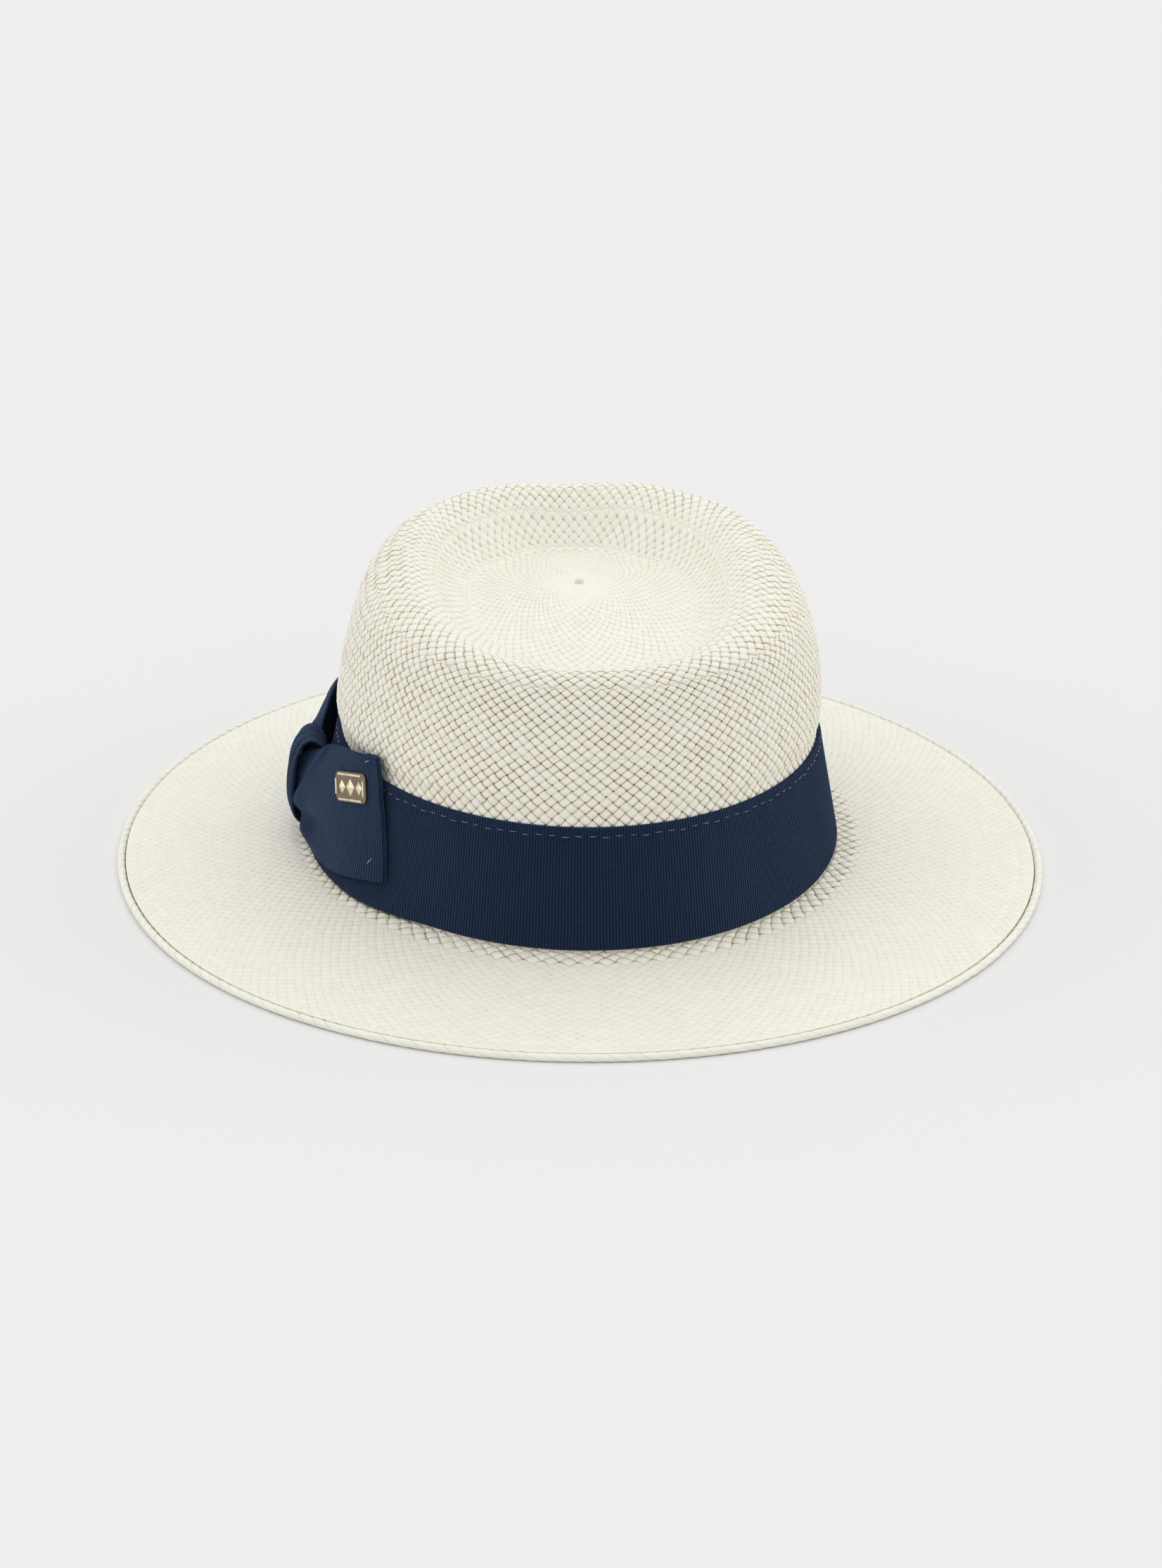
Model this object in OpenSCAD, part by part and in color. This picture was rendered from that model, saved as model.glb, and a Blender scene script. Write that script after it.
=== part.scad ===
// Woven straw fedora, size 57: centre-dent crown, flat brim, navy ribbon with a flat bow.
// +Y is the front of the hat, +X the wearer's right, +Z up. The hat stands on its brim border.

/* [Brim] */
// Width of the hat across the brim, side to side
brim_w = 302; // [290:1:320]
// Length of the hat over the brim, back to front
brim_l = 336.4; // [324:0.2:352]
// How much wider the brim is at the back than at the front, as a share of its half-width
brim_egg = 0.039; // [0:0.001:0.05]
// Height and width of the braided border
border_h = 2.4; // [2:0.1:3.2]
border_w = 2.6; // [2:0.1:3.2]

/* [Crown] */
// Width of the crown over the ribbon, at the ribbon's lower edge
foot_w = 170.6; // [164:0.2:176]
// Length of the crown over the ribbon, at the ribbon's lower edge
foot_l = 208.2; // [200:0.2:214]
// Height of the ribbon's lower edge above the surface that the hat stands on
foot_z = 5.5; // [5:0.1:7]
// Height of the crown's ridge above the ribbon's lower edge, halfway along
crown_h = 90.2; // [86:0.2:96]
// Depth of the crown's dent below the ridge
dent = 11.3; // [9:0.1:14]
// Rise of the ridge for each millimetre towards the front
ridge_slope = 0.1; // [0.06:0.01:0.12]
// Depth of the two finger pinches at the front of the crown
pinch = 5; // [0:0.5:7]
// Thickness of the woven straw
straw_t = 1.6; // [1.2:0.1:1.8]

/* [Ribbon and bow] */
// Height of the ribbon
band_h = 37.2; // [34:0.2:38]
// Thickness of the ribbon
band_t = 0.8; // [0.6:0.1:0.9]
// Thickness of a bow wing, two layers of ribbon with air between
wing_t = 2; // [1.8:0.1:2.4]
// How far the ribbon's lower edge stands out around the bow
flare_out = 4.2; // [2:0.2:4.4]
// Width of the knot around the hat
knot_w = 16; // [14:0.5:17]
// How far the knot stands out from the ribbon
knot_out = 12.5; // [10:0.5:13]

/* [Badge] */
// Width and height of the badge on the bow
badge_w = 19; // [14:0.5:20]
badge_h = 9.6; // [7:0.2:10]
// Lean of the badge on the wing, in degrees
badge_lean = 15; // [0:1:20]

/* [Sweatband] */
// Height and thickness of the leather band
sweat_h = 33; // [30:1:35]
sweat_t = 0.9; // [0.7:0.1:1]
// Diameter of the stiff reed in the band's lower edge
reed_d = 1.8; // [1.6:0.1:2]
// Size label: width, height and thickness
label_w = 24; // [18:1:28]
label_h = 15; // [12:1:17]
label_t = 0.5; // [0.4:0.1:0.6]

/* [Hidden] */
STRAW = "#EFECD9";
NAVY = "#1F3157";
NT = 90;             // steps around the oval
crown_y = 1.6;       // the crown's oval sits a little forward of the brim's centre
gap = 0.2;           // clearance between neighbouring solids
bw = brim_w/2 - border_w - gap;
bl = brim_l/2 - border_w - gap;
fw = foot_w/2 - band_t - gap;
fl = foot_l/2 - band_t - gap;
ch = crown_h;
ks = ridge_slope;

// Rings of the outer surface, from the brim's edge to the floor of the dent. Each is
// [half-width, half-length behind, half-length ahead, squareness, egg, sideways shift,
//  height above the ribbon's lower edge, rise towards the front]
RINGS = [
  [bw, bl + crown_y, bl - crown_y, 2.02, brim_egg, 0, -3.5, 0],
  [128, 147, 144, 2.02, 0.03, 0, -3.0, 0],
  [106, 125.5, 123.5, 2, 0.015, 0, -2.1, 0],
  [89.5, 108.5, 108.5, 2, 0, 0, -1.0, 0],
  [fw + 1.4, fl + 1.4, fl + 1.4, 2, 0, 0, -0.8, 0],
  [fw - 0.1, fl - 0.1, fl - 0.1, 2, 0, 0, 0, 0],
  [fw - 3.4, fl - 4.1, fl - 4.1, 2, 0, 0, band_h*0.5, 0],
  [fw - 7, fl - 8.6, fl - 8.6, 2, 0, 0, band_h, 0],
  [fw - 5.8, fl - 8.8, fl - 9.3, 2, 0, 0, band_h + 8, 0],
  [fw - 7.0, fl - 10.4, fl - 12, 2, 0, 0.7, ch - 32, 0.02],
  [fw - 10.1, fl - 13.4, fl - 15.6, 2.05, 0, 1.0, ch - 19, 0.05],
  [fw - 14.6, fl - 16.4, fl - 22, 2.2, 0, 1.2, ch - 8.2, 0.8*ks],
  [fw - 22.8, fl - 19.6, fl - 30.6, 2.45, 0, 1.2, ch - 1.9, 0.95*ks],
  [fw - 30.4, fl - 23.4, fl - 38.4, 2.45, 0, 0.8, ch, ks],
  [fw - 36.4, fl - 27.4, fl - 44, 2.35, 0, 0.4, ch - 2.7, 0.9*ks],
  [fw - 42.6, fl - 31.8, fl - 50, 2.2, 0, 0, ch - 0.74*dent, 0.5*ks],
  [fw - 50.4, fl - 37.4, fl - 56, 2.1, 0, 0, ch - dent, 0],
  [fw - 62.4, fl - 58, fl - 70, 2, 0, 0, ch - dent + 1.6, 0],
  [11, 21, 16, 2, 0, 0, ch - dent + 3.8, 0],
  [1, 2, 1.5, 2, 0, 0, ch - dent + 4.4, 0]];
SUB = [1, 1, 1, 1, 1, 2, 2, 2, 1, 2, 2, 2, 2, 2, 2, 2, 1, 2, 1];

function spline(a, b, c, d, f) = 0.5*(2*b + (c - a)*f + (2*a - 5*b + 4*c - d)*f*f
  + (3*b - a - 3*c + d)*f*f*f);
function row(i) = RINGS[min(max(i, 0), len(RINGS) - 1)];
function between(i, f) = spline(row(i - 1), row(i), row(i + 1), row(i + 2), f);
function bump(x, w) = exp(-x*x/(w*w));

// A point of ring r at angle t, with the front pinches and the dip in the front ridge
function on_ring(r, t) =
  let (c = cos(t), s = sin(t), n = r[3],
       q = pow(pow(abs(c), n) + pow(abs(s), n), -1/n),
       in = pinch*bump(r[6] - 68, 15)*(bump(t - 53, 12) + bump(t - 127, 12))/r[0],
       dip = bump(t - 90, 16)*(1.6*bump(r[6] + ks*60 - 96, 5)
             + (r[0] < fw - 32 && r[0] > 30 ? 2*bump(r[0] - 45, 7) : 0)),
       y = (s > 0 ? r[2] : r[1])*s*q*(1 - in))
  [r[0]*c*q*(1 - r[4]*s)*(1 - in) + r[5], y + crown_y, foot_z + r[6] + r[7]*y - dip];

// Rings after subdivision
FINE = concat([for (i = [0 : len(RINGS) - 2]) for (k = [0 : SUB[i] - 1])
  between(i, k/SUB[i])], [row(len(RINGS) - 1)]);
function around(k, n = NT) = (k % n)*360/n;
OUTER = [for (r = FINE) [for (k = [0 : NT - 1]) on_ring(r, around(k))]];
NR = len(OUTER);
function unit(v) = v/norm(v);
function normal(i, k) = unit(cross(
  OUTER[i][(k + 1) % NT] - OUTER[i][(k + NT - 1) % NT],
  OUTER[min(i + 1, NR - 1)][k] - OUTER[max(i - 1, 0)][k]));
INNER = [for (i = [0 : NR - 1]) [for (k = [0 : NT - 1]) OUTER[i][k] - straw_t*normal(i, k)]];

// Joins rings of points, each with n points, into one closed skin; the rings form a loop
module torus_skin(rings) {
  m = len(rings);
  n = len(rings[0]);
  polyhedron([for (r = rings) each r], [for (i = [0 : m - 1]) for (k = [0 : n - 1])
    let (a = i*n + k, b = i*n + (k + 1) % n,
         c = ((i + 1) % m)*n + k, d = ((i + 1) % m)*n + (k + 1) % n)
    each [[a, b, c], [b, d, c]]]);
}
// The same for an open row of rings, closed by a flat face at each end
module tube_skin(rings) {
  m = len(rings);
  n = len(rings[0]);
  polyhedron([for (r = rings) each r], concat(
    [for (i = [0 : m - 2]) for (k = [0 : n - 1])
      let (a = i*n + k, b = i*n + (k + 1) % n, c = a + n, d = b + n)
      each [[a, c, b], [b, c, d]]],
    [[for (k = [0 : n - 1]) k]], [[for (k = [0 : n - 1]) (m - 1)*n + n - 1 - k]]));
}

// A point of the ribbon's outer face at angle t, height z and distance out from it
function on_band(t, z, out) =
  let (w = z/band_h, c = cos(t), s = sin(t))
  [(foot_w/2 - 7*w + out)*c, crown_y + (foot_l/2 - 8.6*w + out)*s, foot_z + z];
// The same for the sweatband's outer face, inside the crown
function on_sweat(t, z, out) = on_band(t, z, out - band_t - gap - straw_t - 0.7);
// The ribbon's lower edge stands out around the bow, and meets the crown again above it
function flare(t, z) = let (a = min(1, max(0, (abs(t - 180) - 30)/26)))
  flare_out*(1 - a*a*(3 - 2*a))*pow(max(0, 1 - z/(band_h - 4)), 1.5);
// A ring of round section with radius r, centred on the line that on_band gives
function band_cord(z, out, r, n, sides) =
  [for (k = [0 : n - 1]) [for (j = [0 : sides - 1]) on_band(around(k, n),
    z + r*sin(j*360/sides), out + r*cos(j*360/sides))]];

module straw_body() color(STRAW) {
  n = NT;
  skin = concat(OUTER, [for (i = [NR - 1 : -1 : 0]) INNER[i]]);
  m = len(skin);
  top = NR - 1;
  polyhedron([for (r = skin) each r], [for (i = [0 : m - 1]) for (k = [0 : n - 1])
    let (j = (i + 1) % m, a = i*n + k, b = i*n + (k + 1) % n,
         c = j*n + k, d = j*n + (k + 1) % n)
    if (i != top) each [[a, c, b], [b, c, d]],
    [for (k = [0 : n - 1]) top*n + n - 1 - k],
    [for (k = [0 : n - 1]) (top + 1)*n + k]]);
}

// Outline of the brim, w inside its outer edge
function brim_line(w) = [for (k = [0 : 119])
  let (t = around(k, 120), c = cos(t), s = sin(t), n = 2.02,
       q = pow(pow(abs(c), n) + pow(abs(s), n), -1/n),
       half_l = brim_l/2 - w + (s > 0 ? -crown_y : crown_y))
  [(brim_w/2 - w)*c*q*(1 - brim_egg*s), half_l*s*q + crown_y]];
module brim_ring(w_out, w_in, h) linear_extrude(h) difference() {
  polygon(brim_line(w_out));
  polygon(brim_line(w_in));
}
module brim_border() color(STRAW) {
  e = border_w/4;
  brim_ring(e, border_w - e, border_h);
  translate([0, 0, 0.5]) brim_ring(0, border_w, border_h - 1);
}

module hat_band() color(NAVY)
  torus_skin([for (p = [[0.3, 0], [5, 0], [11, 0], [band_h/2, 0], [band_h - 4, 0], [band_h, 0],
    [band_h, -band_t], [band_h - 4, -band_t], [band_h/2, -band_t], [11, -band_t], [5, -band_t], [0.3, -band_t]])
    [for (k = [NT - 1 : -1 : 0]) let (t = around(k), f = flare(t, p[0]))
      on_band(t, p[0] - (p[0] < 1 ? 0.12*f : 0), p[1] + f)]]);

module band_gather_thread() color("#565073")
  torus_skin(band_cord(band_h - 2.6, 0.3, 0.2, NT, 6));

// A bow wing: columns of [angle, low z, high z, out, slant, out along its lower edge], by
// rising angle. Above the ribbon the wing stands further out, clear of the crown's swell
function clear_out(z) = 0.3*max(0, z - band_h + 2);
module wing(cols) color(NAVY)
  tube_skin([for (c = cols) [for (p = [[0, 0], [0.35, 0], [0.7, 0], [1, 0],
                                       [1, 1], [0.7, 1], [0.35, 1], [0, 1]])
    let (z = c[1] + (c[2] - c[1])*p[0], t = c[0] + c[4]*p[0])
    on_band(t, z, (p[0] == 0 ? c[5] : c[3]) + flare(t, z) + clear_out(z) + wing_t*p[1])]]);
module bow_near_wing() wing([[186.6, 4.6, 25, 4.6, 0.4, 2.4], [190.5, 2, 34, 3.8, 0, 0.8],
  [196, 2.2, 39, 2.8, -0.4, 0.6], [202, 3.2, 40.8, 1.8, -2, 0.5], [208, 4.8, 42.8, 1, -3.6, 0.5],
  [214.4, 7.2, 44.4, 0.6, -5, 0.5], [220.4, 9.4, 46, 0.5, -6, 0.5]]);
module bow_far_wing() wing([[141.6, 4.6, 43, 0.5, 5, 0.5], [147, 3.8, 42, 1, 4.6, 0.5],
  [153, 3, 40.4, 2, 4.2, 0.6], [158.5, 2.6, 37.4, 3.2, 3.4, 0.8], [164, 2.4, 34, 3.8, 2.6, 1.2],
  [169, 2.8, 31, 4.6, 1.6, 1.8], [173, 4.6, 27, 5, 0.6, 2.6]]);

// The knot: a strap folded over the middle of the bow
module bow_knot() color(NAVY)
  tube_skin([for (y = [-1, -0.7, 0, 0.7, 1]) let (t = 179.4 + y*knot_w/2*0.55,
    f = abs(y) > 0.9 ? 0.84 : 1, o = knot_out*f, e = 2*(1 - f))
    [on_band(t, 3 + e, 0.5 + flare(t, 3)), on_band(t, 12, 0.5 + flare(t, 10)),
     on_band(t, 30 - e, 0.6 + flare(t, 28)), on_band(t, 33.4 - e, 5), on_band(t, 34.4 - e, o*0.74),
     on_band(t, 32 - e, o*0.95), on_band(t, 27, o), on_band(t, 18, o),
     on_band(t, 11, o*0.94), on_band(t, 6 + e, o*0.8), on_band(t, 3.6 + e, 6.4)]]);

// Short stitches that hold the bow's corners down, on a wing that stands out from the ribbon
module stitch(t, z, out, lean) {
  p = on_band(t, z, out + flare(t, z) + clear_out(z) + wing_t + 0.35);
  translate(p) rotate([0, 0, t]) rotate([lean, 0, 0]) cube([0.4, 2.4, 0.4], center = true);
}
module bow_tack_stitches() color("#6A6585") {
  stitch(216.8, 14, 0.8, 38);
  stitch(213.2, 43.2, 0.9, 60);
  stitch(145.2, 10, 0.9, -38);
  stitch(147.6, 40.4, 1.1, -60);
}

// The badge lies on the near wing: a local frame on the wing's face, which looks along +Z
module at_badge() translate(on_band(207, 32, 2.08 + wing_t)) rotate([0, 0, 208])
  rotate([0, 83, 0]) rotate([0, 0, badge_lean + 90]) children();
module badge() color("#9A8258") at_badge()
  translate([0, 0, 0.5]) linear_extrude(1)
    offset(1.6) square([badge_w - 3.2, badge_h - 3.2], center = true);
module badge_washer() color("#8A7A5C") at_badge()
  translate([0, 0, 0.1]) cylinder(h = 0.35, d = 6, $fn = 32);

module sweatband() color("#B98A5E")
  torus_skin([for (p = [[0.4, 0], [sweat_h/2, 0], [sweat_h, 0], [sweat_h, -sweat_t],
                        [sweat_h/2, -sweat_t], [0.4, -sweat_t]])
    [for (k = [NT - 1 : -1 : 0]) on_sweat(around(k), p[0], p[1])]]);
reed_z = -1.9;
reed_out = -sweat_t/2 - 0.2;
module sweatband_reed() color("#E8E4D8")
  torus_skin([for (k = [0 : 71]) [for (j = [0 : 7])
    on_sweat(around(k, 72), reed_z + reed_d/2*sin(j*45), reed_out + reed_d/2*cos(j*45))]]);
// The tape wraps the reed; its section is a ring that is open towards the leather
tape_sec = let (r1 = reed_d/2 + 0.15, r2 = reed_d/2 + 0.55) concat(
  [for (a = [120 : 60 : 420]) [r2*cos(a), r2*sin(a)]],
  [for (a = [420 : -60 : 120]) [r1*cos(a), r1*sin(a)]]);
module reed_tape() color("#D9CFB8")
  torus_skin([for (k = [0 : 71]) [for (p = tape_sec)
    on_sweat(around(k, 72), reed_z + p[1], reed_out + p[0])]]);
module sweatband_stitching() color("#EFE6D2")
  torus_skin([for (k = [0 : 71]) [for (j = [0 : 4])
    on_sweat(around(k, 72), 3 + 0.2*sin(j*72), -sweat_t - 0.3 + 0.2*cos(j*72))]]);

// A strip that covers the leather's butt joint at the back
module back_seam_tape() color("#A97B50")
  tube_skin([for (x = [4.5, 0, -4.5]) let (t = 270 + x*0.7)
    [for (p = [[5, 0], [sweat_h - 2, 0], [sweat_h - 2, -0.6], [5, -0.6]])
      on_sweat(t, p[0], -sweat_t - 0.15 + p[1])]]);

// A small flat bow over the joint
module sweatband_bow() color("#2B2A31") {
  z0 = sweat_h - 5.5;
  p = on_sweat(270, z0, -sweat_t - 1.0);
  translate(p) rotate([-13, 0, 0]) {
    translate([0, 1.1, 0]) cube([4, 2, 4.6], center = true);
    for (s = [-1, 1]) translate([s*7, 0.9, 0]) cube([9.6, 1.2, 6], center = true);
  }
}

// The size label hangs from its upper edge, a rolled hem about which it turns
label_at = 289;
label_z = 21;
label_turn = atan2(100*cos(label_at), -82*sin(label_at));
label_top = on_sweat(label_at, label_z, -sweat_t - 1.8);
module size_label() color("#F4F2EA")
  translate(label_top) rotate([0, 0, label_turn])
    union() {
      translate([-label_w/2, -label_t/2, -label_h]) cube([label_w, label_t, label_h]);
      translate([-label_w/2, 0, 0]) rotate([0, 90, 0])
        cylinder(h = label_w, d = label_t + 0.4, $fn = 24);
    }

straw_body();
brim_border();
hat_band();
band_gather_thread();
bow_near_wing();
bow_far_wing();
bow_knot();
bow_tack_stitches();
badge();
badge_washer();
sweatband();
sweatband_reed();
reed_tape();
sweatband_stitching();
back_seam_tape();
sweatband_bow();
size_label();
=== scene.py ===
"""A woven straw fedora with a navy ribbon, a flat side bow and a leather sweatband."""

import math

import bmesh
import bpy
import numpy as np
from bpy.props import FloatProperty, FloatVectorProperty, IntProperty, PointerProperty
from mathutils import Matrix


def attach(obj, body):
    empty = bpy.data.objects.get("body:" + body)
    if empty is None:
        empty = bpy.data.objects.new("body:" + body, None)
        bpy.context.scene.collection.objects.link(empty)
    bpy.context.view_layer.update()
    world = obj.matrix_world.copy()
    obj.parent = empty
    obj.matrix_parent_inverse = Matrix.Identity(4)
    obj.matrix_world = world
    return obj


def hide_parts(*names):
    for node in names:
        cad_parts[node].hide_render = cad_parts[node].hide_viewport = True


bl_info = {
    "name": "Straw Fedora",
    "version": (1, 0, 0),
    "blender": (4, 5, 0),
    "location": "View3D > Sidebar > Fedora",
    "description": "Weaves a straw fedora around its CAD frame",
    "category": "Object",
}

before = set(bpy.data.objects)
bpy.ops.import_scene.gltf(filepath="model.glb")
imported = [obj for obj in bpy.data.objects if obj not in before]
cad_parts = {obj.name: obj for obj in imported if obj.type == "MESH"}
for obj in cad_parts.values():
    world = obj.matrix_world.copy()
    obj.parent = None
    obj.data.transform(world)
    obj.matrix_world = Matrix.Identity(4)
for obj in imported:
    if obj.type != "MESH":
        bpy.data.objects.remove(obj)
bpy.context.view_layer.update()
MM = 0.001
TAU = 2 * math.pi
UNDER_STEP = 6  # rows of the straw's outer face to one row of its inner face

# ---------------------------------------------------------------- the hat's own dimensions, mm
BRIM_W, BRIM_L, BRIM_EGG, BRIM_SQUARE = 302.0, 336.4, 0.039, 2.02
BORDER_W, BORDER_H = 2.6, 2.4
FOOT_W, FOOT_L, FOOT_Z = 170.6, 208.2, 5.5
CROWN_H, DENT, RIDGE_SLOPE = 90.2, 11.3, 0.1
PINCH, PINCH_Z, PINCH_TURNS = 5.0, 68, (53, 127)  # depth, height and angles in degrees
STRAW_T, CROWN_Y, GAP = 1.6, 1.6, 0.2
BAND_H, BAND_T = 37.2, 0.8
BAND_LEAN_W, BAND_LEAN_L = 7.0, 8.6  # how far the ribbon's upper edge lies inside its lower one
FLARE_OUT = 4.2  # how far its lower edge stands out behind the bow
STITCH_Z, FOLD_T = 34.6, 0.55  # height of the running stitch, thickness of the folded ribbon
BADGE_W, BADGE_L, BADGE_T = 19, 9.6, 0.7
LEATHER_H, LEATHER_T = 33.0, 0.9
LABEL_W, LABEL_DROP, LABEL_TURN = 24, 14.9, 289  # the last one is an angle in degrees

FW = FOOT_W / 2 - BAND_T - GAP
FL = FOOT_L / 2 - BAND_T - GAP
EDGE_W = BRIM_W / 2 - BORDER_W - GAP
EDGE_L = BRIM_L / 2 - BORDER_W - GAP

# Rings of the straw's outer surface, brim edge to dent floor: half-width, half-length behind,
# half-length ahead, squareness, egg, sideways shift, height above the ribbon's foot, rise
RINGS = np.array(
    [
        [EDGE_W, EDGE_L + CROWN_Y, EDGE_L - CROWN_Y, BRIM_SQUARE, BRIM_EGG, 0, -3.5, 0],
        [128, 147, 144, BRIM_SQUARE, 0.03, 0, -3.0, 0],
        [106, 125.5, 123.5, 2, 0.015, 0, -2.1, 0],
        [89.5, 108.5, 108.5, 2, 0, 0, -1.0, 0],
        [FW + 1.4, FL + 1.4, FL + 1.4, 2, 0, 0, -0.8, 0],
        [FW - 0.1, FL - 0.1, FL - 0.1, 2, 0, 0, 0, 0],
        [FW - 3.4, FL - 4.1, FL - 4.1, 2, 0, 0, BAND_H / 2, 0],
        [FW - BAND_LEAN_W, FL - BAND_LEAN_L, FL - BAND_LEAN_L, 2, 0, 0, BAND_H, 0],
        [FW - 5.8, FL - 8.8, FL - 9.3, 2, 0, 0, BAND_H + 8, 0],
        [FW - 7.0, FL - 10.4, FL - 12, 2, 0, 0.7, CROWN_H - 32, 0.02],
        [FW - 10.1, FL - 13.4, FL - 15.6, 2.05, 0, 1.0, CROWN_H - 19, 0.05],
        [FW - 14.6, FL - 16.4, FL - 22, 2.2, 0, 1.2, CROWN_H - 8.2, 0.8 * RIDGE_SLOPE],
        [FW - 22.8, FL - 19.6, FL - 30.6, 2.45, 0, 1.2, CROWN_H - 1.9, 0.95 * RIDGE_SLOPE],
        [FW - 30.4, FL - 23.4, FL - 38.4, 2.45, 0, 0.8, CROWN_H, RIDGE_SLOPE],
        [FW - 36.4, FL - 27.4, FL - 44, 2.35, 0, 0.4, CROWN_H - 2.7, 0.9 * RIDGE_SLOPE],
        [FW - 42.6, FL - 31.8, FL - 50, 2.2, 0, 0, CROWN_H - 0.74 * DENT, 0.5 * RIDGE_SLOPE],
        [FW - 50.4, FL - 37.4, FL - 56, 2.1, 0, 0, CROWN_H - DENT, 0],
        [FW - 62.4, FL - 58, FL - 70, 2, 0, 0, CROWN_H - DENT + 1.6, 0],
        [11, 21, 16, 2, 0, 0, CROWN_H - DENT + 3.8, 0],
        [1, 2, 1.5, 2, 0, 0, CROWN_H - DENT + 4.4, 0],
    ]
)
LAST = len(RINGS) - 1
ROOT_RING, ROOT_CELLS = 5.0, 113  # where the brim meets the crown
HIDDEN_TOP = 6.75  # the weave behind the ribbon is left plain up to this ring


def bump(x, width):
    """A smooth hill, 1 at its middle."""
    return np.exp(-((x / width) ** 2))


def smooth(x, low, high):
    """A smooth step from 0 at low to 1 at high."""
    t = np.clip((x - low) / (high - low), 0, 1)
    return t * t * (3 - 2 * t)


def unit(vectors):
    """The same vectors at length 1."""
    return vectors / np.maximum(np.linalg.norm(vectors, axis=-1, keepdims=True), 1e-9)


def steps(points, axis):
    """Distances between neighbours in a grid of points."""
    return np.linalg.norm(np.diff(points, axis=axis), axis=-1)


def running(lengths):
    """Running total of a row of lengths, from 0."""
    return np.concatenate([[0], np.cumsum(lengths)])


def spline(a, b, c, d, f):
    """The Catmull-Rom curve between b and c, at the share f of the way."""
    return 0.5 * (
        2 * b + (c - a) * f + (2 * a - 5 * b + 4 * c - d) * f**2 + (3 * b - a - 3 * c + d) * f**3
    )


def squared(c, s, square):
    """How far a squared oval reaches beyond the plain one, for an angle's cosine and sine."""
    return (np.abs(c) ** square + np.abs(s) ** square) ** (-1 / square)


def ring_rows(rho):
    """Rows of RINGS at ring numbers rho."""
    i = np.clip(np.floor(rho).astype(int), 0, LAST - 1)
    corners = (RINGS[np.clip(i + k, 0, LAST)] for k in (-1, 0, 1, 2))
    return spline(*corners, (rho - i)[:, None])


def straw_surface(rho, angle):
    """Points of the straw's outer surface, one row for each ring number."""
    r = ring_rows(np.asarray(rho, float))[:, :, None].transpose(1, 0, 2)
    t = np.asarray(angle, float)[None, :]
    deg = np.degrees(t) % 360
    c, s = np.cos(t), np.sin(t)
    wide, back, ahead, square, egg, shift, high, rise = r
    q = squared(c, s, square)
    fingers = sum(bump(deg - turn, 12) for turn in PINCH_TURNS)
    pinched = PINCH * bump(high - PINCH_Z, 15) * fingers / wide
    valley = np.where((wide < FW - 32) & (wide > 30), 2 * bump(wide - 45, 7), 0)
    dip = bump(deg - 90, 16) * (1.6 * bump(high + RIDGE_SLOPE * 60 - 96, 5) + valley)
    y = np.where(s > 0, ahead, back) * s * q * (1 - pinched)
    x = wide * c * q * (1 - egg * s) * (1 - pinched) + shift
    return np.stack([x, y + CROWN_Y, FOOT_Z + high + rise * y - dip + 0 * c], -1)


def straw_normal(rho, angle):
    e = 1e-3
    along = straw_surface(rho, angle + e) - straw_surface(rho, angle - e)
    above, below = np.minimum(rho + e, LAST), np.maximum(rho - e, 0)
    return unit(np.cross(along, straw_surface(above, angle) - straw_surface(below, angle)))


# Fine ring numbers, with the girth and the length along the surface from the brim's edge at each
RHO = np.linspace(0, LAST, 200 * LAST + 1)
SURFACE = straw_surface(RHO, np.linspace(0, TAU, 181))
GIRTH = steps(SURFACE, 1).sum(1)
RUN = running(steps(SURFACE, 0).mean(1))

# Angles around an oval of the crown's shape, with the length along it at each
OVAL_TURN = np.linspace(0, TAU, 3601)
OVAL_RUN = running(np.hypot(FL * np.diff(np.sin(OVAL_TURN)), FW * np.diff(np.cos(OVAL_TURN))))


def run_at(rho):
    """Length along the surface at a ring number."""
    return np.interp(rho, RHO, RUN)


def even_angle(u):
    """Angle at the share u of the way around the oval."""
    u = np.asarray(u)
    return np.interp(u % 1 + (u == 1), OVAL_RUN / OVAL_RUN[-1], OVAL_TURN)


def weave_rows(start, stop, cells, sub):
    """Ring numbers of the rows of a woven zone between two lengths along the surface, and the
    cells that lie below each row."""
    turn = running(np.diff(RUN) * cells / GIRTH[1:])
    first, last = np.interp([start, stop], RUN, turn)
    count = max(1, int(round(last - first)))
    v = np.arange(count * sub + 1) / sub
    return np.interp(first + v * (last - first) / count, turn, RHO), v


def chance(a, b, seed=0.0):
    """A steady pseudo-random number from 0 to 1 for each pair."""
    return np.modf(np.abs(np.sin(a * 12.9898 + b * 78.233 + seed * 37.719)) * 43758.5453)[0]


def weave_relief(p, q, wrap, lift, swell, lean=0.0):
    """Height of a plain weave whose strands run along p and q, one pitch to a unit.

    lean is how far the first set of strands stands proud of the second."""
    i, j = np.floor(p), np.floor(q)
    fp, fq = p - i, q - j
    im, jm = i % wrap, j % wrap
    over = np.where((i + j) % 2 < 0.5, 1.0, -1.0)
    lift = lift * (0.75 + 0.5 * chance(im, jm, 3.0))
    surface = -(lift + swell)
    for side, f_along, f_across, strand, other in ((1, fp, fq, jm, im), (-1, fq, fp, im, jm)):
        wide = 0.84 + 0.1 * chance(strand, 1.0 + side) + 0.5 * side * lean
        ends = np.abs(2 * f_along - 1)
        off = np.abs(2 * f_across - 1) / (wide * (1 - 0.14 * ends**5))
        hump = np.sin(np.pi * f_along) ** 0.8
        tilt = 0.25 * (chance(strand, other, 4.0 + side) - 0.5) * (2 * f_across - 1)
        top = side * over * lift * hump + swell * (1 - off**4 + tilt) + side * lean
        surface = np.maximum(surface, np.where(off < 1, top, -np.inf))
    return surface


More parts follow.
